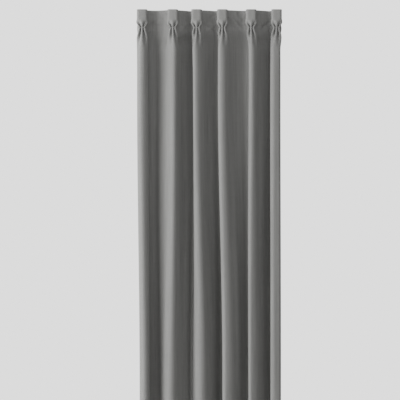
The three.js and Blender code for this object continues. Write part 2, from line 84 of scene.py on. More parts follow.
# %% [markdown]
# The heading sets every other size. Each pleat takes up 98 mm of cloth in three fingers, and 130 mm
# lies between two pleats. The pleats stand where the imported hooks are. The cloth of the frame has the
# same flat width, drop and pleats. The folds made here are finer, and differ a little from its folds.

# %% Sizes of the cloth
PLEATS = 6
PLEAT_CLOTH = 98 * MM
SPACE_CLOTH = 130 * MM
EDGE_CLOTH = 16 * MM
FINGER_CLOTH = PLEAT_CLOTH / 3
HALF_PLEAT = PLEAT_CLOTH / 2
PERIOD = PLEAT_CLOTH + SPACE_CLOTH
EDGE_TO_CREST = HALF_PLEAT + EDGE_CLOTH
FLAT_WIDTH = 2 * EDGE_TO_CREST + (PLEATS - 1) * PERIOD
HEADING_HEIGHT = 76 * MM
BACK_BELOW_TOP = 4 * MM
TAPE_BOTTOM = BACK_BELOW_TOP + 89 * MM
BASE_RADIUS = 0.9 * MM
TIP_RADIUS = 4 * MM
SEAM_RADIUS = 3.6 * MM
PLEAT_BASE_Y = -8.1 * MM

cloth_low, cloth_high = (np.array(corner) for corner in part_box("face_fabric"))
TOP_Z = cloth_high[2]
DROP = TOP_Z - cloth_low[2]


def middle(node):
    low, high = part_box(node)
    return (np.array(low) + np.array(high)) / 2


pleat_x = np.array([middle(f"drapery_hook_{i + 1}")[0] for i in range(PLEATS)])
print("flat cloth", round(FLAT_WIDTH, 3), "m wide, drop", round(DROP, 3), "m,",
      "pleats at", pleat_x.round(3))

# %% [markdown]
# Cloth bends easily but hardly stretches. So each level of the panel is drawn in plan by walking
# along the cloth: the direction of each step is given, and the steps add up to the curve. The curve
# can then never be longer or shorter than the cloth. At the tack the walk turns round the three
# fingers of each pleat. Above it they aren't pressed, so they open into one full, rounded bulge.

# %% Directions in the heading
FULL_TIP_RADIUS = 5 * MM
FAN_TOP, FAN_TACK, FAN_BELOW = np.radians([8, 4, 8])
FINGERS_GONE = 172 * MM
FANNED_OUT = 150 * MM
BULGE_RADIUS = 10 * MM
BULGE_FRONT = 12 * MM
BULGE_FROM, BULGE_TO = 38 * MM, 75 * MM
SEAM_STEPS = 199
STEEPEST_LEAN = 1.6
HALVINGS = 40


def ease(start, end, value):
    """0 before start, 1 after end, and 3 x squared less 2 x cubed between them."""
    share = np.clip((value - start) / (end - start), 0, 1)
    return share * share * (3 - 2 * share)


def arc(place, centre, length):
    """Rises evenly from 0 to 1 over a length, so that a direction it drives turns a round arc."""
    return np.clip((place - centre) / length + 0.5, 0, 1)


def tip_radius(drop):
    return FULL_TIP_RADIUS + (TIP_RADIUS - FULL_TIP_RADIUS) * ease(0, 0.8 * HEADING_HEIGHT, drop)


def fan_angle(drop):
    """How far the outer fingers of a pleat splay: a little at the top, and again below the tack."""
    in_heading = FAN_TOP + (FAN_TACK - FAN_TOP) * ease(0, HEADING_HEIGHT, drop)
    return in_heading + FAN_BELOW * ease(HEADING_HEIGHT, FANNED_OUT, drop)


def finger_direction(away, drop):
    """Direction round the fingers: half a turn at each tip, and back again between them."""
    fan, tip = fan_angle(drop), np.pi * tip_radius(drop)
    turned = np.pi * (arc(away, 0, tip) - 0.5)
    turned = turned + (fan - np.pi) * arc(away, FINGER_CLOTH / 2, np.pi * BASE_RADIUS)
    turned = turned + np.pi * arc(away, FINGER_CLOTH, tip)
    return turned - (np.pi / 2 + fan) * arc(away, HALF_PLEAT, SEAM_RADIUS)


def bulge_direction(away):
    """Direction round the bulge: across its front, half a circle at its side, and back to the seam."""
    side = np.pi * BULGE_RADIUS
    return np.pi * (arc(away, BULGE_FRONT + side / 2, side) - arc(away, HALF_PLEAT, SEAM_RADIUS))


def raw_direction(away, drop, lean):
    bulge = 1 - ease(BULGE_FROM, BULGE_TO, drop)
    outer = (away - FINGER_CLOTH / 2) / (HALF_PLEAT - FINGER_CLOTH / 2)
    wave = np.sin(np.pi * np.clip(outer, 0, 1)) ** 2
    return (1 - bulge) * finger_direction(away, drop) + bulge * bulge_direction(away) + lean * wave


def seam_place(drop, lean):
    """How far the seam lies from the pleat's middle, to the side and behind the crest."""
    away = np.linspace(0, HALF_PLEAT, SEAM_STEPS + 1)[None, :]
    direction = raw_direction(away, drop, lean)
    step = HALF_PLEAT / SEAM_STEPS
    trapezium = np.full(SEAM_STEPS + 1, step)
    trapezium[[0, -1]] = step / 2
    return np.cos(direction) @ trapezium, np.sin(direction) @ trapezium


def pleat_lean(drop):
    """A small extra turn that keeps the seam where it belongs while the bulge closes to fingers.

    The seam's place runs straight from the bulge's to the fingers'. Halving finds the turn.
    """
    bulge = (1 - ease(BULGE_FROM, BULGE_TO, drop))[:, 0]
    open_x, closed_x = (seam_place(np.full((1, 1), end), 0)[0][0] for end in (BULGE_FROM, BULGE_TO))
    target = closed_x + (open_x - closed_x) * bulge
    moving = (bulge > 0) & (bulge < 1)
    low, high = np.full(len(drop), -STEEPEST_LEAN), np.full(len(drop), STEEPEST_LEAN)
    for _ in range(HALVINGS):
        lean = (low + high) / 2
        too_far = seam_place(drop, lean[:, None])[0] > target
        low, high = np.where(too_far, lean, low), np.where(too_far, high, lean)
    return np.where(moving, lean, 0)[:, None]


def pleat_direction(offset, drop):
    """Direction within a pleat, odd about the tip of its middle finger."""
    return np.sign(offset) * raw_direction(np.abs(offset), drop, pleat_lean(drop))


# %% [markdown]
# Below the heading the fingers open out and each pleat becomes one rounded crest. From a crest the
# cloth slopes away gently on its right side, turns in the valley, and comes steeply forward to the
# next crest, so each fold leans over the one on its left. Every fold leans a little differently, and
# changes slowly on its way down. The list gives each size near the heading and near the hem.

# %% Folds
UPPER_LEVEL, LOWER_LEVEL = 0.30, 1.56
fold_shapes = [
    {"valley": (0.44, 0.475), "after": (61, 46), "before": (20, 36), "turn": (104, 92),
     "level": (0.39, 0.31)},
    {"valley": (0.60, 0.55), "after": (24, 32), "before": (32, 50), "turn": (42, 28),
     "level": (0.80, 0.14)},
    {"valley": (0.62, 0.58), "after": (30, 42), "before": (34, 32), "turn": (54, 36),
     "level": (0.53, 0.26)},
    {"valley": (0.64, 0.605), "after": (34, 66), "before": (36, 34), "turn": (56, 54),
     "level": (0.60, 0.14)},
    {"valley": (0.60, 0.60), "after": (24, 42), "before": (50, 50), "turn": (34, 30),
     "level": (0.65, 0.60)},
]
CREST_UPPER = np.array([0, 7, -7, -6, 3, -10]) * MM
CREST_LOWER = np.array([11, -7, 17, 16, 0, -10]) * MM
FOLD_FORWARD = 41 * MM
FLANKS_SETTLED = 130 * MM


def fold_share(drop):
    return ease(HEADING_HEIGHT, FINGERS_GONE, drop)


def at_height(pair, drop):
    """A size that runs from its upper to its lower value, easing between the two levels."""
    return pair[0] + (pair[1] - pair[0]) * ease(UPPER_LEVEL, LOWER_LEVEL, drop)


def crest_line(pleat, drop):
    """Where a crest stands at each level: its pleat's place, and a shift that grows in below."""
    shift = at_height((CREST_UPPER[pleat], CREST_LOWER[pleat]), drop)
    return pleat_x[pleat] + shift * fold_share(drop)


def crest_depth(drop):
    in_heading = PLEAT_BASE_Y - seam_place(drop, pleat_lean(drop))[1][:, None]
    share = fold_share(drop)
    return in_heading * (1 - share) - FOLD_FORWARD * share


def flank_shares(shape, along, drop):
    """The two flanks of one fold, each as a share of its own steepest direction.

    The first climbs from the crest by a quarter sine, or at the seam of the pleat by a short arc,
    and then flattens towards the valley. The second is the same from the other crest. They hand
    over in the valley by an ease. Below the tack they form before the fingers have opened out.
    """
    share = ease(HEADING_HEIGHT, FLANKS_SETTLED, drop)
    valley = at_height(shape["valley"], drop) * PERIOD
    turn = at_height(shape["turn"], drop) * MM
    after = at_height(shape["after"], drop) * MM
    before = at_height(shape["before"], drop) * MM
    past = ease(valley - turn / 2, valley + turn / 2, along)
    flatten = 1 - at_height(shape["level"], drop) * ease(after, valley, along)
    from_seam = arc(along, HALF_PLEAT, SEAM_RADIUS)
    to_seam = 1 - arc(along, PERIOD - HALF_PLEAT, SEAM_RADIUS)
    leaving = np.sin(np.pi / 2 * np.clip(along / after, 0, 1)) * flatten
    arriving = np.sin(np.pi / 2 * np.clip((PERIOD - along) / before, 0, 1))
    back = ((1 - share) * from_seam + share * leaving) * (1 - past)
    forward = ((1 - share) * to_seam + share * arriving) * past
    return back, forward


# %% [markdown]
# The walk from one crest has to end at the next one. Each fold has two unknowns, how steep its two
# flanks are, and two conditions, the place of the next crest along the rail and in depth. Newton's
# method finds them for every level at once, because each level is a row of the arrays.

# %% Walking along the cloth
WALK_STEP = 0.5 * MM
NEWTON_STEPS = 40
LONGEST_TURN = 0.25
FIRST_BACK, FIRST_FORWARD = 0.7, 1.3


def add_up(values, step):
    """Running total along the last axis by the trapezium rule, starting at 0."""
    strips = (values[:, 1:] + values[:, :-1]) * step / 2
    return np.concatenate([np.zeros((len(values), 1)), np.cumsum(strips, axis=1)], axis=1)


def walk_fold(index, drop):
    """One fold at all levels: x, y and direction, from crest to crest."""
    count = round(PERIOD / WALK_STEP)
    step = PERIOD / count
    along = np.linspace(0, PERIOD, count + 1)[None, :]
    offset = np.where(along <= PERIOD / 2, along, along - PERIOD)
    fingers = (1 - fold_share(drop)) * pleat_direction(offset, drop)
    leaving, arriving = flank_shares(fold_shapes[index], along, drop)
    reach = (crest_line(index + 1, drop) - crest_line(index, drop))[:, 0]
    back = np.full(len(drop), FIRST_BACK)
    forward = np.full(len(drop), FIRST_FORWARD)

    def total(values):
        return ((values[:, 1:] + values[:, :-1]) * step / 2).sum(axis=1)

    for _ in range(NEWTON_STEPS):
        direction = fingers + back[:, None] * leaving - forward[:, None] * arriving
        cosine, sine = np.cos(direction), np.sin(direction)
        miss_x, miss_y = total(cosine) - reach, total(sine)
        x_back, x_forward = -total(sine * leaving), total(sine * arriving)
        y_back, y_forward = total(cosine * leaving), -total(cosine * arriving)
        scale = x_back * y_forward - x_forward * y_back
        turn_back = (miss_y * x_forward - miss_x * y_forward) / scale
        turn_forward = (miss_x * y_back - miss_y * x_back) / scale
        back += np.clip(turn_back, -LONGEST_TURN, LONGEST_TURN)
        forward += np.clip(turn_forward, -LONGEST_TURN, LONGEST_TURN)
    miss = max(np.abs(miss_x).max(), np.abs(miss_y).max()) / MM
    print(f"fold {index + 1}: slopes {np.degrees(back.min()):.0f} to {np.degrees(back.max()):.0f} and "
          f"{np.degrees(forward.min()):.0f} to {np.degrees(forward.max()):.0f} degrees, "
          f"closes within {miss:.4f} mm")
    x = add_up(cosine, step) + crest_line(index, drop)
    y = add_up(sine, step) + crest_depth(drop)
    return x, y, direction


# %% [markdown]
# The two free edges are walked outwards from the first and last crest. Each leaves its crest gently
# and then curls back behind the panel, where the side hem makes it stiff.

# %% Free edges
EDGES_SETTLED = 145 * MM
HEADING_EDGE_TURN = np.radians(60)
lead_edge = {"mild": np.radians(34), "round": 16 * MM, "steep": np.radians(100),
             "hold": 10 * MM, "curl": 32 * MM}
fixed_edge = {"mild": np.radians(14), "round": 15 * MM, "steep": np.radians(100),
              "hold": 14 * MM, "curl": 24 * MM}


def walk_edge(shape, drop):
    """A free edge at all levels: a quarter sine to its mild slope, then an ease to its steep one."""
    count = round(EDGE_TO_CREST / WALK_STEP)
    step = EDGE_TO_CREST / count
    away = np.linspace(0, EDGE_TO_CREST, count + 1)[None, :]
    share = fold_share(drop)
    settled = ease(HEADING_HEIGHT, EDGES_SETTLED, drop)
    curl = (shape["steep"] - shape["mild"]) * ease(shape["hold"], shape["hold"] + shape["curl"], away)
    in_folds = shape["mild"] * np.sin(np.pi / 2 * np.clip(away / shape["round"], 0, 1)) + curl
    in_heading = pleat_direction(away, drop) + HEADING_EDGE_TURN * arc(away, HALF_PLEAT, SEAM_RADIUS)
    direction = (1 - share) * in_heading + settled * in_folds
    x = add_up(np.cos(direction), step)
    y = add_up(np.sin(direction), step) + crest_depth(drop)
    return x, y, direction


def walk_panel(drop):
    """The whole cloth at all levels: place along it, x, y and direction."""
    drop = np.asarray(drop)[:, None]
    x, y, direction = walk_edge(lead_edge, drop)
    runs = [(crest_line(0, drop) - x[:, ::-1], y[:, ::-1], -direction[:, ::-1])]
    for index in range(PLEATS - 1):
        runs.append([values[:, 1:] for values in walk_fold(index, drop)])
    x, y, direction = walk_edge(fixed_edge, drop)
    runs.append((x[:, 1:] + crest_line(PLEATS - 1, drop), y[:, 1:], direction[:, 1:]))
    x, y, direction = (np.concatenate(parts, axis=1) for parts in zip(*runs))
    return np.linspace(0, FLAT_WIDTH, x.shape[1]), x, y, direction


FINE_TO = 0.33
levels = np.concatenate([
    np.linspace(0, TAPE_BOTTOM, 26, endpoint=False),
    np.linspace(TAPE_BOTTOM, FINE_TO, 40, endpoint=False),
    np.linspace(FINE_TO, DROP, 46),
])
walk_s, walk_x, walk_y, walk_turn = walk_panel(levels)
print("walked", *walk_x.shape, "levels and steps; folds reach from", walk_y.min().round(3),
      "to", walk_y.max().round(3))

# %% [markdown]
# Real cloth isn't perfectly smooth. Long soft waves run down it, drag lines spread below each tack,
# and the stiffened heading is dented beside the pleats. They are small pushes in and out, shared by
# all the layers, so that the layers stay clear of each other.

# %% Small waves
WAVELENGTHS = (0.160, 0.104, 0.071, 0.047)
WAVE_HEIGHT = 0.0085
DENTS = 200
DENT_LEAST = (14, 2, 6, -1.6, -2.1)
DENT_MOST = (64, 78, 12, 1.6, 2.1)
TAPE_SEAM = 62 * MM
SEAM_GROOVE = 0.7 * MM
GROOVE_HALF = 3 * MM
DRAG_LINES = 5
DRAG_LEAST = (-0.30, 3, 0.5, 60)
DRAG_MOST = (0.30, 7, 1.3, 160)


def ripple(s, drop):
    """Upright waves: a few sines along the cloth that lean and swell slowly on the way down."""
    random = np.random.default_rng(11)
    push = 0
    for wavelength in WAVELENGTHS:
        phase, lean, beat, start = random.uniform([0, -4, 2, 0], [6.28, 4, 6, 6.28])
        swell = 1 + 0.6 * np.sin(drop * beat + start)
        push = push + wavelength * swell * np.sin(2 * np.pi * s / wavelength + lean * drop + phase)
    return push * WAVE_HEIGHT * ease(HEADING_HEIGHT, 0.3, drop)


def dents(s, drop):
    """Dents of the heading: bell-shaped bumps of random size, slant and height beside the pleats.

    The row of stitches through the tape pulls in a shallow groove, bell-shaped across its width.
    """
    random = np.random.default_rng(5)
    push = 0
    for _ in range(DENTS):
        pleat, side = random.integers(PLEATS), random.choice([-1, 1])
        offset, level, size, slant, height = random.uniform(DENT_LEAST, DENT_MOST)
        centre = EDGE_TO_CREST + pleat * PERIOD + side * (HALF_PLEAT + offset * MM)
        across = (s - centre + slant * (drop - level * MM)) / (size * MM)
        down = (drop - level * MM) / (2.2 * size * MM)
        push = push + height * MM * np.exp(-across ** 2 - down ** 2)
    groove = SEAM_GROOVE * np.exp(-((drop - TAPE_SEAM) / GROOVE_HALF) ** 2)
    return push * ease(0, 8 * MM, drop) + groove


def drag_lines(s, drop):
    """Lines that spread below a tack: narrow ridges along slanted lines, dying out as they fall."""
    random = np.random.default_rng(23)
    push = 0
    for pleat in range(PLEATS):
        for _ in range(DRAG_LINES):
            spread, width, height, reach = random.uniform(DRAG_LEAST, DRAG_MOST)
            start = random.choice([-1, 1]) * random.uniform(8, 52) * MM
            below = drop - HEADING_HEIGHT
            centre = EDGE_TO_CREST + pleat * PERIOD + start + spread * below
            fade = ease(0, 0.03, below) * (1 - ease(0.3, 1, below / (reach * MM)))
            push = push + height * MM * fade * np.exp(-((s - centre) / (width * MM)) ** 2)
    return push


def layer_points(s, drop, depth):
    """Points from arrays of place, drop and depth: the face's point plus depth times the way back.

    Cloth past an edge carries straight on, which lets a hem roll round it.
    """
    s, drop, depth = np.broadcast_arrays(s, drop, depth)
    on_s, on_drop = np.clip(s, 0, FLAT_WIDTH), np.clip(drop, 0, DROP)
    row = np.interp(on_drop, levels, np.arange(len(levels)))
    column = on_s / FLAT_WIDTH * (len(walk_s) - 1)
    top = np.minimum(row.astype(int), len(levels) - 2)
    left = np.minimum(column.astype(int), len(walk_s) - 2)
    down, across = row - top, column - left

    def blend(values):
        upper = values[top, left] * (1 - across) + values[top, left + 1] * across
        lower = values[top + 1, left] * (1 - across) + values[top + 1, left + 1] * across
        return upper * (1 - down) + lower * down

    turn, past = blend(walk_turn), s - on_s
    push = depth + ripple(on_s, on_drop) + dents(on_s, on_drop) + drag_lines(on_s, on_drop)
    x = blend(walk_x) + np.cos(turn) * past - np.sin(turn) * push
    y = blend(walk_y) + np.sin(turn) * past + np.cos(turn) * push
    return np.stack([x, y, TOP_Z - drop], axis=-1)


# %% [markdown]
# Every piece here is a closed mesh whose points come from arrays. A sheet is a grid pushed half its
# thickness both ways and joined round its four edges. Its flat places go into a UV map in metres, so
# that the weave follows the cloth. A thread or a wire is a ring of points carried along a path.

# %% Meshes from arrays
def make_mesh(name, vertices, quads, triangles=None, flat=None):
    """An object at the origin from arrays of points and faces, turned so that its faces look out."""
    triangles = np.zeros((0, 3), int) if triangles is None else triangles
    fan = np.concatenate([quads[:, [0, 1, 2]], quads[:, [0, 2, 3]], triangles])
    a, b, c = (vertices[fan[:, i]] for i in range(3))
    if np.einsum("ij,ij->i", a, np.cross(b, c)).sum() < 0:
        quads, triangles = quads[:, ::-1], triangles[:, ::-1]
    loops = np.concatenate([quads.ravel(), triangles.ravel()]).astype(np.int32)
    sizes = np.concatenate([np.full(len(quads), 4), np.full(len(triangles), 3)]).astype(np.int32)
    mesh = bpy.data.meshes.new(name)
    mesh.vertices.add(len(vertices))
    mesh.vertices.foreach_set("co", vertices.astype(np.float32).ravel())
    mesh.loops.add(len(loops))
    mesh.loops.foreach_set("vertex_index", loops)
    mesh.polygons.add(len(sizes))
    starts = np.concatenate([[0], np.cumsum(sizes)[:-1]])
    mesh.polygons.foreach_set("loop_start", starts.astype(np.int32))
    mesh.polygons.foreach_set("loop_total", sizes)
    mesh.polygons.foreach_set("use_smooth", np.ones(len(sizes), dtype=bool))
    mesh.update(calc_edges=True)
    if flat is not None:
        layer = mesh.uv_layers.new(name="cloth")
        layer.data.foreach_set("uv", flat[loops].astype(np.float32).ravel())
    piece = bpy.data.objects.new(name, mesh)
    bpy.context.collection.objects.link(piece)
    print(name, "-", len(fan), "triangles")
    return piece


def grid_faces(index, closed=False):
    """Quads between the neighbours of a grid of vertex numbers, joined round its columns if closed."""
    if closed:
        index = np.concatenate([index, index[:, :1]], axis=1)
    corners = index[:-1, :-1], index[:-1, 1:], index[1:, 1:], index[1:, :-1]
    return np.stack(corners, axis=-1).reshape(-1, 4)


def grid_normals(points):
    """Unit normals of a grid: the cross product of its two central differences."""
    normal = np.cross(np.gradient(points, axis=1), np.gradient(points, axis=0))
    return normal / np.maximum(np.linalg.norm(normal, axis=-1, keepdims=True), 1e-12)


def make_sheet(name, points, thickness, flat):
    rows, columns = points.shape[:2]
    size = rows * columns
    half = grid_normals(points) * thickness / 2
    vertices = np.concatenate([(points - half).reshape(-1, 3), (points + half).reshape(-1, 3)])
    index = np.arange(size).reshape(rows, columns)
    rim = np.concatenate([index[0, :], index[1:, -1], index[-1, -2::-1], index[-2:0:-1, 0]])
    after = np.roll(rim, -1)
    edge = np.stack([rim, rim + size, after + size, after], axis=-1)
    quads = np.concatenate([grid_faces(index)[:, ::-1], grid_faces(index) + size, edge[:, ::-1]])
    return make_mesh(name, vertices, quads, flat=np.concatenate([flat.reshape(-1, 2)] * 2))


def make_flat_sheet(name, grid, thickness):
    """A sheet from places, drops and depths on the panel, with place and drop as its flat places."""
    s, drop, depth = grid
    return make_sheet(name, layer_points(s, drop, depth), thickness, np.stack([s, -drop], axis=-1))


def make_threads(name, paths, radii, across, sides=6):
    """Many tubes at once: paths are arrays of points, radii follow them, across is never along them."""
    count, steps = paths.shape[:2]
    along = np.gradient(paths, axis=1)
    along /= np.linalg.norm(along, axis=-1, keepdims=True)
    second = np.cross(along, across)
    second /= np.linalg.norm(second, axis=-1, keepdims=True)
    first = np.cross(second, along)
    angle = 2 * np.pi * np.arange(sides) / sides
    ring = first[:, :, None] * np.cos(angle)[:, None] + second[:, :, None] * np.sin(angle)[:, None]
    tubes = paths[:, :, None] + ring * np.asarray(radii)[None, :, None, None]
    vertices = np.concatenate([tubes.reshape(-1, 3), paths[:, 0], paths[:, -1]])
    index = np.arange(count * steps * sides).reshape(count, steps, sides)
    after = np.roll(index, -1, axis=2)
    corners = index[:, :-1], after[:, :-1], after[:, 1:], index[:, 1:]
    quads = np.stack(corners, axis=-1).reshape(-1, 4)
    start = np.arange(count)[:, None] + index.size
    first_caps = np.stack([after[:, 0], index[:, 0], start + 0 * index[:, 0]], axis=-1)
    last_caps = np.stack([index[:, -1], after[:, -1], start + count + 0 * index[:, 0]], axis=-1)
    caps = np.concatenate([first_caps.reshape(-1, 3), last_caps.reshape(-1, 3)])
    return make_mesh(name, vertices, quads, caps)


# %% [markdown]
# Points along the cloth are closest round the fingers and widest in the spaces. The list is made for
# one pleat and one space, and repeated.

# %% Places along the cloth
def half_pleat_places():
    """Offsets from a pleat's middle to its seam: round the tips and feet of the fingers."""
    tip, foot, seam = np.pi * TIP_RADIUS / 2, np.pi * BASE_RADIUS / 2, SEAM_RADIUS / 2
    between = FINGER_CLOTH / 2
    return np.concatenate([
        np.linspace(0, tip, 4),
        np.linspace(tip, between - foot, 3)[1:],
        np.linspace(between - foot, between + foot, 5)[1:],
        np.linspace(between + foot, FINGER_CLOTH - tip, 3)[1:],
        np.linspace(FINGER_CLOTH - tip, FINGER_CLOTH + tip, 7)[1:],
        np.linspace(FINGER_CLOTH + tip, HALF_PLEAT - seam, 3)[1:],
        np.linspace(HALF_PLEAT - seam, HALF_PLEAT + seam, 4)[1:],
    ])


def cloth_places(start, end, space_steps):
    half = half_pleat_places()
    pleat = np.concatenate([-half[:0:-1], half])
    crests = EDGE_TO_CREST + PERIOD * np.arange(PLEATS)
    places = [crest + pleat for crest in crests]
    for crest in crests[:-1]:
        places.append(np.linspace(crest + half[-1], crest + PERIOD - half[-1], space_steps + 1)[1:-1])
    places.append(np.linspace(start, crests[0] - half[-1], 5)[:-1])
    places.append(np.linspace(crests[-1] + half[-1], end, 5)[1:])
    return np.sort(np.concatenate(places))


# %% [markdown]
# The face cloth is turned over at all four sides. At the top it goes over the tape and 12 mm down the
# back. The side hems are 38 mm wide, narrower in the heading, where there is no room for them. The
# bottom hem is 100 mm deep. All this is one sheet: rows and columns carry on past the edge, round a
# half circle, and back behind the panel.

# %% Face cloth
FACE_THICKNESS = 0.9 * MM
FACE_HALF = FACE_THICKNESS / 2
TOP_ROLL = 1.65 * MM
TOP_TURN = 12 * MM
HEM_ROLL = 2.6 * MM
HEM_DEPTH = 100 * MM
SIDE_HEM = 38 * MM
SIDE_HEM_IN_HEADING = 5.5 * MM
WIDENS_FROM, WIDENS_TO = 0.15, 0.32
THICKENS_FROM, THICKENS_TO = 0.22, 0.11
PAST_SIDE_HEM = 44 * MM
ROLL = np.linspace(0, np.pi, 6)


def side_hem_roll(drop):
    """Half the side hem's depth behind the face: more below the heading, most at the bottom hem."""
    below = 1.1 * MM * ease(TAPE_BOTTOM, 0.2, drop)
    return 1.15 * MM + below + 1.5 * MM * ease(DROP - THICKENS_FROM, DROP - THICKENS_TO, drop)


def side_hem_width(drop):
    widening = ease(WIDENS_FROM, WIDENS_TO, drop)
    return SIDE_HEM_IN_HEADING + (SIDE_HEM - SIDE_HEM_IN_HEADING) * widening


def face_rows():
    """Drop and depth of each row: up the turned top, over, down the front, under, and up the hem."""
    drop = np.concatenate([
        TOP_ROLL + np.linspace(TOP_TURN, 0, 4)[:-1],
        TOP_ROLL * (1 - np.sin(ROLL[:0:-1])),
        np.linspace(TOP_ROLL, TAPE_BOTTOM, 29)[:-1],
        np.linspace(TAPE_BOTTOM, FINE_TO, 26)[:-1],
        np.linspace(FINE_TO, DROP - HEM_DEPTH, 32)[:-1],
        np.linspace(DROP - HEM_DEPTH, DROP - HEM_ROLL, 5)[:-1],
        DROP - HEM_ROLL * (1 - np.sin(ROLL)),
        np.linspace(DROP - HEM_ROLL, DROP - HEM_DEPTH, 5)[1:],
    ])
    depth = np.zeros(len(drop))
    depth[:3] = 2 * TOP_ROLL
    depth[3:3 + len(ROLL)] = TOP_ROLL * (1 - np.cos(ROLL[::-1]))
    depth[-4 - len(ROLL):-4] = HEM_ROLL * (1 - np.cos(ROLL))
    depth[-4:] = 2 * HEM_ROLL
    return drop, depth


def face_grid():
    """Place, drop and depth of every point of the face cloth, side hems and turned ends included."""
    drop, row_depth = (values[:, None] for values in face_rows())
    roll, width = side_hem_roll(drop), side_hem_width(drop)
    run = np.linspace(0, 1, 5)[None, 1:]
    hem = np.concatenate([-roll * np.sin(ROLL[None, 1:]), run * width], axis=1)
    hem_depth = np.concatenate([roll * (1 - np.cos(ROLL[None, 1:])), 2 * roll + 0 * run], axis=1)
    shown = cloth_places(0, FLAT_WIDTH, 30)[None, :] + 0 * drop
    s = np.concatenate([hem[:, ::-1], shown, FLAT_WIDTH - hem], axis=1)
    depth = np.concatenate([hem_depth[:, ::-1], 0 * shown, hem_depth], axis=1)
    return s, drop + 0 * s, depth + row_depth


face = make_flat_sheet("face_cloth", face_grid(), FACE_THICKNESS)

# %% [markdown]
# The lining is a lighter cloth. It is caught under the side hems and hangs a little behind the face
# cloth between them. It ends 25 mm above the panel's hem, with its own hem turned up at the back.

# %% Lining
LINING_THICKNESS = 0.4 * MM
LINING_HALF = LINING_THICKNESS / 2
LINING_IN = 10 * MM
LINING_ABOVE_HEM = 25 * MM
LINING_HEM = 50 * MM
LINING_ROLL = 0.5 * MM
LINING_FREE = 90 * MM


def lining_depth(s, drop):
    """Depth behind the face: close in the heading, hanging free below, held in by the side hems."""
    to_edge = np.minimum(s, FLAT_WIDTH - s)
    hanging = ease(TAPE_BOTTOM, 0.3, drop)
    thick = ease(DROP - THICKENS_FROM, DROP - THICKENS_TO, drop)
    at_edge = (1.1 + 2.2 * hanging + 3.1 * thick) * MM
    free = (1.1 + 5.5 * hanging) * MM
    return at_edge + (free - at_edge) * ease(PAST_SIDE_HEM, LINING_FREE, to_edge)


def lining_grid():
    """The lining's points: down its front, round its hem's fold, and up the back of its hem."""
    bottom = DROP - LINING_ABOVE_HEM
    drop = np.concatenate([
        np.linspace(BACK_BELOW_TOP, TAPE_BOTTOM, 14)[:-1],
        np.linspace(TAPE_BOTTOM, FINE_TO, 24)[:-1],
        np.linspace(FINE_TO, bottom - LINING_HEM, 28)[:-1],
        np.linspace(bottom - LINING_HEM, bottom - LINING_ROLL, 4)[:-1],
        bottom - LINING_ROLL * (1 - np.sin(ROLL)),
        np.linspace(bottom - LINING_ROLL, bottom - LINING_HEM, 4)[1:],
    ])[:, None]
    fold = np.zeros_like(drop)
    fold[-3 - len(ROLL):-3, 0] = LINING_ROLL * (1 - np.cos(ROLL))
    fold[-3:] = 2 * LINING_ROLL
    s = cloth_places(LINING_IN, FLAT_WIDTH - LINING_IN, 24)[None, :] + 0 * drop
    drop = drop + 0 * s
    return s, drop, lining_depth(s, drop) + fold


lining = make_flat_sheet("lining_cloth", lining_grid(), LINING_THICKNESS)

# %% [markdown]
# The heading tape is a stiff woven band, pleated with the cloth. Fine ribs run along it. Its top edge
# goes under the turned face cloth, and its lower edge is sewn through.

# %% Heading tape
TAPE_THICKNESS = 0.7 * MM
TAPE_DEPTH = 2.1 * MM
TAPE_IN = 6 * MM
TAPE_RIBS = 9
RIB_HEIGHT = 0.12 * MM


def tape_grid():
    """The tape's points: a flat band behind the lining, pushed in and out by a cosine for its ribs."""
    drop = np.linspace(BACK_BELOW_TOP, TAPE_BOTTOM, 4 * TAPE_RIBS + 1)[:, None]
    phase = 2 * np.pi * TAPE_RIBS * (drop - BACK_BELOW_TOP) / (TAPE_BOTTOM - BACK_BELOW_TOP)
    ribs = RIB_HEIGHT * np.cos(phase)
    s = cloth_places(TAPE_IN, FLAT_WIDTH - TAPE_IN, 20)[None, :] + 0 * drop
    return s, drop + 0 * s, TAPE_DEPTH + ribs + 0 * s


tape = make_flat_sheet("stiff_heading_tape", tape_grid(), TAPE_THICKNESS)

# %% [markdown]
# The sewing is real thread. A machine stitch is a short raised loop between two needle holes, so a
# row of them is many small tubes that dip into the cloth at both ends. Hand stitches along the side
# hems slant, and are further apart.

# %% Stitches
STITCH_PITCH = 4 * MM
THREAD_RADIUS = 0.22 * MM
STITCH_IN = 3 * MM
HAND_PITCH = 14 * MM
STITCH_SHAPE = np.array([[-0.46, -0.3, 0, 0.3, 0.46]])
STITCH_RISE = np.array([[-0.30, 0.18, 0.26, 0.18, -0.30]]) * MM
STITCH_WIDTH = THREAD_RADIUS * np.array([0.5, 1, 1.1, 1, 0.5])


def stitch_centres(start, end, pitch):
    return start + pitch * (np.arange(int((end - start) / pitch))[:, None] + 0.5)


def even(depth):
    """A depth that is the same all along a row, as a function of place and drop."""
    return lambda s, d: depth + 0 * s


def stitch_row(inset, drop, depth, outward=1, pitch=STITCH_PITCH):
    """Machine stitches at one drop, between equal insets. Depth is a function of place and drop."""
    centre = stitch_centres(inset, FLAT_WIDTH - inset, pitch)
    rise = depth(centre, drop) + outward * STITCH_RISE
    return layer_points(centre + STITCH_SHAPE * pitch, drop, rise)


def hand_stitches(place, start, end, depth, pitch):
    """Slanted hand stitches down the cloth. Place and depth are functions of the drop."""
    centre = stitch_centres(start, end, pitch)
    along = STITCH_SHAPE * pitch / 2
    return layer_points(place(centre) + 0.35 * along, centre + along, depth(centre) + STITCH_RISE)


def sew(name, rows, hand_rows=()):
    paths = np.concatenate([*rows, *hand_rows])
    across = np.tile([0.0, 0.0, 1.0], (len(paths), 1, 1))
    across[sum(len(row) for row in rows):] = (1.0, 0.3, 0.0)
    return make_threads(name, paths, STITCH_WIDTH, across, 5)


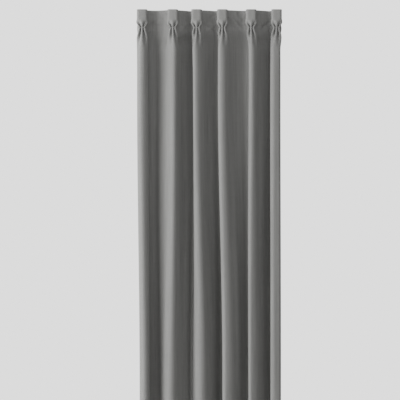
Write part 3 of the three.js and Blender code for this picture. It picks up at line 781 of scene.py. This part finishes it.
grey_rows = [
    stitch_row(TAPE_IN, TAPE_SEAM, even(-FACE_HALF), -1),
    stitch_row(TAPE_IN, TAPE_BOTTOM - STITCH_IN, even(-FACE_HALF), -1),
    stitch_row(TAPE_IN, TOP_ROLL + TOP_TURN - 2.5 * MM, even(2 * TOP_ROLL + FACE_HALF)),
    stitch_row(PAST_SIDE_HEM, DROP - HEM_DEPTH + STITCH_IN, even(2 * HEM_ROLL + FACE_HALF),
               pitch=2 * STITCH_PITCH),
]
side_rows = [hand_stitches(
    lambda d, side=side: side * FLAT_WIDTH + (1 - 2 * side) * (side_hem_width(d) - 2 * MM),
    FINE_TO, DROP - THICKENS_TO, lambda d: 2 * side_hem_roll(d) + FACE_HALF, HAND_PITCH)
    for side in (0, 1)]
face_stitches = sew("face_stitching", grey_rows, side_rows)
white_rows = [
    stitch_row(LINING_IN, TAPE_BOTTOM - STITCH_IN, even(TAPE_DEPTH + TAPE_THICKNESS / 2 + 0.1 * MM)),
    stitch_row(PAST_SIDE_HEM, DROP - LINING_ABOVE_HEM - LINING_HEM + STITCH_IN,
               lambda s, d: lining_depth(s, d) + 2 * LINING_ROLL + LINING_HALF),
]
lining_stitches = sew("lining_stitching", white_rows)

# %% [markdown]
# A drapery hook is one bent wire. Its round crook opens downwards behind and hangs in a ring or a
# carrier. Its pin stands up inside the back of the pleat, ground to a point. The path is made of
# straight runs and half circles, and the tube narrows over the last few millimetres.

# %% Hooks
WIRE_RADIUS = 0.8 * MM
CROOK_INSIDE = 3.5 * MM
CROOK_END = 8 * MM
HOOK_LEG = 42 * MM
PIN_LEG = 34 * MM
PIN_INTO_PLEAT = 5 * MM


def hook_path(x):
    """The wire's centre line: short leg, crook, long leg, low bend and pin, at the pleat's place."""
    crook = CROOK_INSIDE + WIRE_RADIUS
    pin_y = PLEAT_BASE_Y - PIN_INTO_PLEAT
    low_radius = (-crook - pin_y) / 2
    low_z = -CROOK_INSIDE - HOOK_LEG
    turn = np.linspace(0, np.pi, 25)
    pin = np.array([0.2, 0.4, 0.6, 0.8, 0.9, 0.95, 0.98, 1.0])
    end = -CROOK_INSIDE - CROOK_END
    y = np.concatenate([[crook] * 2, crook * np.cos(turn), [-crook] * 5,
                        -crook - low_radius + low_radius * np.cos(turn), [pin_y] * len(pin)])
    z = np.concatenate([[end, end + MM], -CROOK_INSIDE + crook * np.sin(turn),
                        np.linspace(-CROOK_INSIDE, low_z, 7)[1:-1],
                        low_z - low_radius * np.sin(turn), low_z + PIN_LEG * pin])
    return np.stack([np.full(len(y), x), y, z], axis=-1)


def hook_radii(count):
    radii = np.full(count, WIRE_RADIUS)
    radii[0], radii[-4:] = 0.72 * WIRE_RADIUS, WIRE_RADIUS * np.array([0.95, 0.7, 0.4, 0.08])
    return radii


hooks = []
for i, x in enumerate(pleat_x):
    path = hook_path(x)
    radii = hook_radii(len(path))
    hooks.append(make_threads(f"wire_hook_{i + 1}", path[None], radii, (1.0, 0, 0), 12))

# %% [markdown]
# A hand-sewn tack pinches each pleat at the lower edge of the heading. Its three strands of thread
# pass over the finger tips side by side and go into the cloth on the outer fingers.

# %% Pleat tacks
TACK_STRAND = 0.42 * MM
TACK_STANDS_OFF = FACE_HALF + TACK_STRAND
TACK_LEG = 7 * MM


def tack_path():
    """Half an oval in plan round the three tips: corners of the tips' radius, joined by a bar."""
    fan, tip = fan_angle(HEADING_HEIGHT), tip_radius(HEADING_HEIGHT)
    leg = (FINGER_CLOTH - np.pi * (tip + BASE_RADIUS)) / 2
    outer = (tip + BASE_RADIUS) * (1 + np.cos(fan)) + (leg + tip) * np.sin(fan)
    front = PLEAT_BASE_Y - (BASE_RADIUS + leg + tip) - TACK_STANDS_OFF
    corner = tip + TACK_STANDS_OFF
    turn = np.linspace(0, np.pi / 2, 9)
    right_x = np.concatenate([outer + corner * np.sin(turn), [outer + corner] * 3])
    legs = front + corner + TACK_LEG * np.array([0.4, 0.8, 1])
    right_y = np.concatenate([front + corner * (1 - np.cos(turn)), legs])
    x = np.concatenate([-right_x[::-1], np.linspace(-outer, outer, 9)[1:-1], right_x])
    y = np.concatenate([right_y[::-1], np.full(7, front), right_y])
    return x, y


def make_tack(number, x):
    path_x, path_y = tack_path()
    strand = np.arange(3)[:, None] - 1
    wander = 0.25 * MM * np.sin(np.linspace(0, 9, len(path_x)))
    z = TOP_Z - HEADING_HEIGHT + strand * 1.9 * TACK_STRAND + wander * (1 + 0.5 * strand)
    paths = np.stack(np.broadcast_arrays(x + path_x, path_y, z), axis=-1)
    radii = TACK_STRAND * (1 + 0.12 * np.sin(np.arange(len(path_x)) * 2.4))
    return make_threads(f"thread_tack_{number}", paths, radii, (0, 0, 1.0), 8)


tacks = [make_tack(i + 1, x) for i, x in enumerate(pleat_x)]

# %% [markdown]
# A weight in each bottom corner keeps the edge straight. It is a cast zinc plate in a folded pouch of
# lining cloth, between the face cloth and its hem. The plate is flat and rigid, so it is made in its
# own plane: rings that grow from the middle of one face, round the rim, and back on the other face.
# The pouch is a strip folded under it, a grid that runs down one side, round the fold and up.

# %% Weights in their pouches
WEIGHT = 20 * MM
WEIGHT_ABOVE_HEM = 14 * MM
WEIGHT_IN = 8 * MM
WEIGHT_HALF = 1 * MM
WEIGHT_RIM = 0.5 * MM
POUCH_DEPTH = 2.6 * MM
POUCH_HALF = 1.5 * MM
POUCH_CLOTH = 0.35 * MM
POUCH_ABOVE, POUCH_BELOW, POUCH_BESIDE = 5 * MM, 0.4 * MM, 3 * MM


def weight_centre(side):
    in_from_edge = WEIGHT_IN + WEIGHT / 2
    place = in_from_edge if side == "left" else FLAT_WIDTH - in_from_edge
    return place, DROP - WEIGHT_ABOVE_HEM - WEIGHT / 2


def make_weight(side):
    """A plate with soft corners: each ring is a curve whose x and y to the sixth power add up to 1.

    The rings' sizes and heights turn a quarter circle at each edge of the rim.
    """
    place, drop = weight_centre(side)
    corners = layer_points(place + np.array([0, -2, 2]) * MM, drop, POUCH_DEPTH)
    along = corners[2] - corners[1]
    along /= np.linalg.norm(along)
    down = np.array([0, 0, -1.0])
    back = np.cross(down, along)
    angle = 2 * np.pi * np.arange(48) / 48
    outline = np.abs(np.cos(angle)) ** 6 + np.abs(np.sin(angle)) ** 6
    shape = np.stack([np.cos(angle), np.sin(angle)], axis=-1) / outline[:, None] ** (1 / 6)
    quarter = np.linspace(0, np.pi / 2, 5)
    reach = WEIGHT / 2 - WEIGHT_RIM
    size = np.concatenate([[0.001 * reach, 0.5 * reach], reach + WEIGHT_RIM * np.sin(quarter)])
    height = np.concatenate([[0, 0], WEIGHT_RIM * (np.cos(quarter) - 1)]) + WEIGHT_HALF
    size, height = np.concatenate([size, size[::-1]]), np.concatenate([height, -height[::-1]])
    u, v = size[:, None] * shape[:, 0], size[:, None] * shape[:, 1]
    points = corners[0] + u[..., None] * along + v[..., None] * down + height[:, None, None] * back
    index = np.arange(u.size).reshape(u.shape)
    first = np.stack([np.roll(index[0], -1), index[0], u.size + 0 * index[0]], axis=-1)
    last = np.stack([index[-1], np.roll(index[-1], -1), u.size + 1 + 0 * index[-1]], axis=-1)
    ends = corners[0] + np.array([[WEIGHT_HALF], [-WEIGHT_HALF]]) * back
    vertices = np.concatenate([points.reshape(-1, 3), ends])
    caps = np.concatenate([first, last])
    return make_mesh(f"zinc_weight_{side}", vertices, grid_faces(index, closed=True), caps)


def pouch_grid(side):
    """The pouch's points: flat down the front, half a circle under the weight, flat up the back."""
    centre_s, centre_drop = weight_centre(side)
    run = np.linspace(-WEIGHT / 2 - POUCH_ABOVE, WEIGHT / 2 + POUCH_BELOW, 9)
    turn = np.linspace(-np.pi / 2, np.pi / 2, 9)[1:-1]
    down = np.concatenate([run, run[-1] + POUCH_HALF * np.cos(turn), run[::-1]])[:, None]
    depth = POUCH_HALF * np.concatenate([np.full(9, -1), np.sin(turn), np.full(9, 1)])[:, None]
    side_edge = WEIGHT / 2 + POUCH_BESIDE
    across = np.linspace(-side_edge, side_edge, 13)[None, :]
    depth = depth * (1 - 0.55 * ease(WEIGHT / 2, side_edge, np.abs(across)))
    return centre_s + across + 0 * down, centre_drop + down + 0 * across, POUCH_DEPTH + depth


weights = {side: make_weight(side) for side in ("left", "right")}
pouches = {}
for side in ("left", "right"):
    s, drop, depth = pouch_grid(side)
    flat = np.stack([s, drop + 10 * depth], axis=-1)
    pouches[side] = make_sheet(f"pouch_{side}", layer_points(s, drop, depth), POUCH_CLOTH, flat)

# %% [markdown]
# The label is a folded loop of satin ribbon on the back of the side hem, left blank. Three chains of
# thread tie the lining to the hem, so that it swings with the panel.

# %% Label and thread chains
LABEL = (20 * MM, 38 * MM)
LABEL_IN = 20 * MM
LABEL_ABOVE_HEM = 260 * MM
LABEL_ROLL = 0.45 * MM
LABEL_RIBBON = 0.25 * MM
CHAIN_LENGTH = 30 * MM
CHAIN_ABOVE_HEM = 12 * MM
CHAIN_FOLDS = (0, 2, 4)


def label_grid():
    """A loop of ribbon: down its front leaf, round the fold, and up the back leaf, a little curled."""
    middle_drop = DROP - LABEL_ABOVE_HEM
    run = np.linspace(-0.5, 0.5, 12) * LABEL[1]
    turn = np.linspace(-np.pi / 2, np.pi / 2, 7)[1:-1]
    down = np.concatenate([run, run[-1] + LABEL_ROLL * np.cos(turn), run[::-1]])[:, None]
    depth = LABEL_ROLL * np.concatenate([np.full(12, -1), np.sin(turn), np.full(12, 1)])[:, None]
    across = np.linspace(-0.5, 0.5, 9)[None, :] * LABEL[0]
    curl = 1.2 * MM * ease(-LABEL[1] / 2, LABEL[1] / 2, down) ** 2
    curl = curl + 0.3 * MM * (2 * across / LABEL[0]) ** 2
    base = 2 * side_hem_roll(middle_drop + down) + FACE_HALF + LABEL_ROLL + 0.3 * MM
    return LABEL_IN + across + 0 * down, middle_drop + down + 0 * across, base + depth + curl


s, drop, depth = label_grid()
flat = np.stack([s, drop + 9 * depth], axis=-1)
label = make_sheet("blank_label", layer_points(s, drop, depth), LABEL_RIBBON, flat)


def make_chain(number, fold):
    """Three strands twisted round a line down the cloth, pulled in at each link of the chain."""
    share = np.linspace(0, 1, 61)
    down = DROP - CHAIN_ABOVE_HEM - CHAIN_LENGTH * (1 - share)
    place = EDGE_TO_CREST + PERIOD * (fold + fold_shapes[fold]["valley"][1])
    depth = 2 * HEM_ROLL + FACE_HALF + 0.8 * MM + 1.9 * MM * ease(0.3, 0.55, 1 - share)
    twist = 2 * np.pi * (share[None, :] * 9 + np.arange(3)[:, None] / 3)
    swell = 0.42 * MM * (0.75 + 0.25 * np.cos(2 * np.pi * share * 18))
    across = np.stack([np.cos(twist) * swell, np.sin(twist) * swell, 0 * twist], axis=-1)
    paths = layer_points(place, down, depth)[None] + across
    return make_threads(f"thread_chain_{number}", paths, np.full(61, 0.34 * MM), (1.0, 0.3, 0), 6)


chains = [make_chain(i + 1, fold) for i, fold in enumerate(CHAIN_FOLDS)]

# %% [markdown]
# A shader is maths on sockets. This small class lets the maths be written as plain expressions: an
# operation on a socket adds a Math node and hands back its result. Other nodes come from one method.

# %% Shader maths
class Level:
    """A number that changes over a surface: an output socket that can be used in expressions."""

    def __init__(self, finish, socket):
        self.finish, self.socket = finish, socket

    def combine(self, operation, first, second):
        made = self.finish.node("Math", {"operation": operation}, [first, second])
        return Level(self.finish, made.outputs[0])

    def __add__(self, other):
        return self.combine("ADD", self, other)

    def __rsub__(self, other):
        return self.combine("SUBTRACT", other, self)

    def __mul__(self, other):
        return self.combine("MULTIPLY", self, other)

    def __pow__(self, other):
        return self.combine("POWER", self, other)

    __radd__, __rmul__ = __add__, __mul__


class Finish:
    """A material, built from its shader outwards. Settings the same all over go straight in."""

    def __init__(self, name, **constants):
        self.material = bpy.data.materials.new(name)
        self.material.use_nodes = True
        self.tree = self.material.node_tree
        self.shader = self.tree.nodes["Principled BSDF"]
        for socket, value in constants.items():
            title = socket.replace("_", " ").title().replace("Ior", "IOR")
            self.shader.inputs[title].default_value = value

    def node(self, kind, settings, inputs):
        """Adds a node. Inputs are a list in order or a dict by name, each a value or a link."""
        made = self.tree.nodes.new("ShaderNode" + kind)
        for setting, value in settings.items():
            setattr(made, setting, value)
        pairs = inputs.items() if isinstance(inputs, dict) else enumerate(inputs)
        for key, value in pairs:
            source = value.socket if isinstance(value, Level) else value
            if isinstance(source, bpy.types.NodeSocket):
                self.tree.links.new(source, made.inputs[key])
            else:
                made.inputs[key].default_value = source
        return made

    def feed(self, socket, value):
        source = value.socket if isinstance(value, Level) else value
        self.tree.links.new(source, self.shader.inputs[socket])

    def cloth_places(self):
        """The places along and down the cloth, in metres, from its own UV map."""
        place = self.node("UVMap", {"uv_map": "cloth"}, {}).outputs["UV"]
        parts = self.node("SeparateXYZ", {}, [place])
        return place, Level(self, parts.outputs["X"]), Level(self, parts.outputs["Y"])

    def object_places(self):
        return self.node("TexCoord", {}, {}).outputs["Object"]

    def noise(self, place, scale, detail=2.0, stretch=(1, 1, 1)):
        """Noise of a number of cells per metre, squeezed or drawn out along each direction."""
        drawn = self.node("Mapping", {}, {"Vector": place, "Scale": stretch}).outputs["Vector"]
        made = self.node("TexNoise", {}, {"Vector": drawn, "Scale": scale, "Detail": detail})
        return Level(self, made.outputs[0])

    def wave(self, place, pitch):
        """A smooth wave of 0 to 1 along one direction, with a pitch in metres."""
        made = self.node("Math", {"operation": "SINE"}, [place * (2 * np.pi / pitch)])
        return Level(self, made.outputs[0]) * 0.5 + 0.5

    def shades(self, factor, dark, light):
        """A colour between two, by a factor."""
        settings = {"data_type": "RGBA", "clamp_factor": True}
        return self.node("Mix", settings, {0: factor, 6: (*dark, 1), 7: (*light, 1)}).outputs[2]

    def raise_by(self, height, distance, strength=1.0, normal=None):
        inputs = {"Height": height, "Distance": distance, "Strength": strength}
        if normal is not None:
            inputs["Normal"] = normal
        return self.node("Bump", {}, inputs).outputs["Normal"]


def woven(name, dark, light, pitch, streak, roughness, **constants):
    """A plain weave. Threads cross as two waves, and each thread differs a little from the next.

    Long noise drawn out down the cloth makes the uneven threads of the warp. Roughness falls a
    little on the raised threads, and a bump lifts them.
    """
    finish = Finish(name, **constants)
    place, along, down = finish.cloth_places()
    warp, weft = finish.wave(along, pitch), finish.wave(down, pitch * 1.15)
    over = warp * weft + (1 - warp) * (1 - weft)
    slubs = finish.noise(place, 1.0, 3.0, (520, 7, 1))
    soft = finish.noise(place, 1.0, 2.0, (60, 2.2, 1))
    cross = finish.noise(place, 1.0, 2.0, (9, 420, 1))
    uneven = slubs * (0.55 * streak) + soft * (0.30 * streak) + cross * (0.15 * streak)
    shade = over * 0.22 + uneven + (0.39 - 0.5 * streak)
    finish.feed("Base Color", finish.shades(shade, dark, light))
    finish.feed("Roughness", over * -0.08 + slubs * 0.05 + roughness)
    fine = finish.raise_by(over + slubs * 0.5, 0.12 * MM, 0.5)
    finish.feed("Normal", finish.raise_by(soft, 1.2 * MM, 0.12, fine))
    return finish.material


# %% [markdown]
# The face cloth is a mid-grey fabric with a soft sheen. Its warp is slightly uneven, which shows as
# faint upright streaks. The lining is a plain ivory cotton. The tape is stiffer and whiter, and the
# label is smooth satin, with the gloss of its long floating threads.

# %% Cloth finishes
face_finish = woven("grey face cloth", (0.102, 0.102, 0.099), (0.220, 0.220, 0.213),
                    0.62 * MM, 1.3, 0.78,
                    sheen_weight=0.12, sheen_roughness=0.45, specular_ior_level=0.35)
lining_finish = woven("ivory lining cotton", (0.60, 0.585, 0.545), (0.74, 0.725, 0.68),
                      0.45 * MM, 0.5, 0.82,
                      sheen_weight=0.05, specular_ior_level=0.3)
tape_finish = woven("stiff white tape", (0.66, 0.655, 0.63), (0.84, 0.835, 0.81), 1.1 * MM, 0.4, 0.7,
                    specular_ior_level=0.4)
satin_finish = woven("white satin", (0.74, 0.74, 0.72), (0.86, 0.86, 0.84), 0.28 * MM, 0.3, 0.36,
                     sheen_weight=0.2, specular_ior_level=0.6)

# %% [markdown]
# Thread is twisted, so fine slanted ribs run round it. The hooks are nickel-plated steel, drawn through
# a die, with faint lines and small dull spots. The weights are cast zinc: grey, grainy and dull.

# %% Thread and metal finishes
def twisted(name, dark, light):
    """Thread: slanted waves of light and dark on the object's own places, with a bump to match."""
    finish = Finish(name, specular_ior_level=0.35)
    place = finish.object_places()
    parts = finish.node("SeparateXYZ", {}, [place])
    x, y, z = (Level(finish, parts.outputs[axis]) for axis in "XYZ")
    ply = finish.wave(x + y * 0.7 + z * 1.3, 0.55 * MM)
    fuzz = finish.noise(place, 2600.0, 2.0)
    finish.feed("Base Color", finish.shades(ply * 0.6 + fuzz * 0.4, dark, light))
    finish.feed("Roughness", fuzz * 0.2 + 0.55)
    finish.feed("Normal", finish.raise_by(ply + fuzz * 0.4, 0.08 * MM, 0.6))
    return finish.material


def plated():
    """Plated wire: colour and dullness from fine spots, with drawn lines in roughness and bump."""
    finish = Finish("nickel-plated wire", metallic=1.0)
    place = finish.object_places()
    spots = finish.noise(place, 900.0, 4.0)
    lines = finish.noise(place, 1.0, 2.0, (4000, 4000, 120))
    finish.feed("Base Color", finish.shades(spots, (0.52, 0.51, 0.49), (0.72, 0.71, 0.69)))
    finish.feed("Roughness", spots ** 3 * 0.5 + lines * 0.12 + 0.16)
    finish.feed("Normal", finish.raise_by(lines, 0.02 * MM, 0.4))
    return finish.material


def cast_zinc():
    """Cast zinc: broad patches of bloom over a fine grain."""
    finish = Finish("cast zinc", metallic=1.0)
    place = finish.object_places()
    grain = finish.noise(place, 1400.0, 3.0)
    bloom = finish.noise(place, 160.0, 3.0)
    colour = finish.shades(bloom * 0.7 + grain * 0.3, (0.20, 0.21, 0.22), (0.42, 0.43, 0.44))
    finish.feed("Base Color", colour)
    finish.feed("Roughness", bloom * 0.3 + 0.42)
    finish.feed("Normal", finish.raise_by(grain, 0.15 * MM, 0.7))
    return finish.material


grey_thread = twisted("grey thread", (0.10, 0.10, 0.098), (0.20, 0.20, 0.195))
ivory_thread = twisted("ivory thread", (0.58, 0.57, 0.53), (0.78, 0.77, 0.73))
wire_finish = plated()
zinc_finish = cast_zinc()

# %% [markdown]
# Each piece rides on the body that carries it. A hook and its tack ride on their own pleat. The cloth
# hangs from all six, so it rides on the fixed end. The stitches and the label go with the cloth. A
# corner's weight and pouch ride on the pleat above them.

# %% Riding and finishes
bodies = ["lead_pleat", "pleat_2", "pleat_3", "pleat_4", "pleat_5", "root"]


def set_up(piece, body, slot, material, *nodes):
    piece.data.materials.append(material)
    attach(piece, body)
    if nodes:
        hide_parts(*nodes)


set_up(face, "root", "face_cloth", face_finish, "face_fabric")
set_up(lining, "root", "lining_cloth", lining_finish, "lining")
set_up(tape, "root", "buckram", tape_finish, "heading_tape")
set_up(face_stitches, "root", "grey_thread", grey_thread)
set_up(lining_stitches, "root", "white_thread", ivory_thread)
set_up(label, "root", "label_satin", satin_finish, "care_label")
for i, chain in enumerate(chains):
    set_up(chain, "root", "white_thread", ivory_thread, f"swing_tack_{i + 1}")
for i, body in enumerate(bodies):
    set_up(hooks[i], body, "hook_steel", wire_finish, f"drapery_hook_{i + 1}")
    set_up(tacks[i], body, "grey_thread", grey_thread, f"pleat_tack_{i + 1}")
for side, body in (("left", "lead_pleat"), ("right", "root")):
    set_up(pouches[side], body, "lining_cloth", lining_finish, f"weight_pouch_{side}")
    set_up(weights[side], body, "weight_zinc", zinc_finish, f"hem_weight_{side}")

for piece in [face, lining, tape, face_stitches, lining_stitches, label, *chains]:
    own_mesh(piece)
for side, anchor_x in (("left", pleat_x[0]), ("right", 0)):
    for piece in (pouches[side], weights[side]):
        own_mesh(piece)

# %% [markdown]
# The studio is plain: a pale floor, pale air all round, and one big soft light low on the left that
# rakes across the folds. The light is wide, so the shade deepens gently into each valley. A weak
# light above fills the heading, and the pale surroundings fill the rest. The air is seen brighter
# than it lights, or the shadows would wash out.

# %% Studio
FLOOR_GAP = 12 * MM
FLOOR_RINGS = (0.0001, 0.4, 0.9, 1.3, 1.48, 1.5)
KEY_DIRECTION = np.radians(72)
KEY_DISTANCE = 3.2
KEY_HEIGHT = -0.45
KEY_SIZE = (4.2, 3.4)
KEY_POWER = 368
FILL_PLACE = (-0.2, -1.6, 0.35)
FILL_SIZE = (1.6, 0.9)
FILL_POWER = 10
SURROUNDINGS = 0.57
SEEN_SURROUNDINGS = 2.15


def make_floor():
    """A pale disc just below the hem: rings of points, each ring a circle, the last turned down."""
    angle = 2 * np.pi * np.arange(96) / 96
    rings = np.array(FLOOR_RINGS)[:, None]
    x, y = CAMERA_X + rings * np.cos(angle), rings * np.sin(angle)
    z = np.full_like(x, cloth_low[2] - FLOOR_GAP)
    z[-1] -= 0.02
    points = np.stack([x, y, z], axis=-1).reshape(-1, 3)
    return make_mesh("floor", points, grid_faces(np.arange(x.size).reshape(x.shape), closed=True))


def soft_light(name, place, aim, size, power):
    lamp = bpy.data.lights.new(name, "AREA")
    lamp.shape, lamp.energy = "RECTANGLE", power
    lamp.size, lamp.size_y = size
    holder = bpy.data.objects.new(name, lamp)
    holder.location = place
    holder.rotation_euler = (Vector(aim) - Vector(place)).to_track_quat("-Z", "Y").to_euler()
    bpy.context.collection.objects.link(holder)


floor = make_floor()
floor_finish = Finish("pale floor", roughness=0.7)
floor_finish.feed("Base Color", floor_finish.shades(
    floor_finish.noise(floor_finish.object_places(), 3.0, 3.0), (0.66, 0.66, 0.65), (0.74, 0.74, 0.73)))
floor.data.materials.append(floor_finish.material)

aim = (CAMERA_X, 0, -1.0)
key_place = (aim[0] - KEY_DISTANCE * np.sin(KEY_DIRECTION), -KEY_DISTANCE * np.cos(KEY_DIRECTION),
             KEY_HEIGHT)
soft_light("window light", key_place, aim, KEY_SIZE, KEY_POWER)
soft_light("ceiling light", FILL_PLACE, (CAMERA_X, 0, -0.1), FILL_SIZE, FILL_POWER)
world = bpy.data.worlds.new("pale surroundings")
bpy.context.scene.world = world
world.use_nodes = True
background = world.node_tree.nodes["Background"]
background.inputs["Color"].default_value = (1.0, 1.0, 0.995, 1)
seen = world.node_tree.nodes.new("ShaderNodeLightPath").outputs["Is Camera Ray"]
strength = world.node_tree.nodes.new("ShaderNodeMapRange")
strength.inputs["To Min"].default_value = SURROUNDINGS
strength.inputs["To Max"].default_value = SEEN_SURROUNDINGS
world.node_tree.links.new(seen, strength.inputs["Value"])
world.node_tree.links.new(strength.outputs["Result"], background.inputs["Strength"])
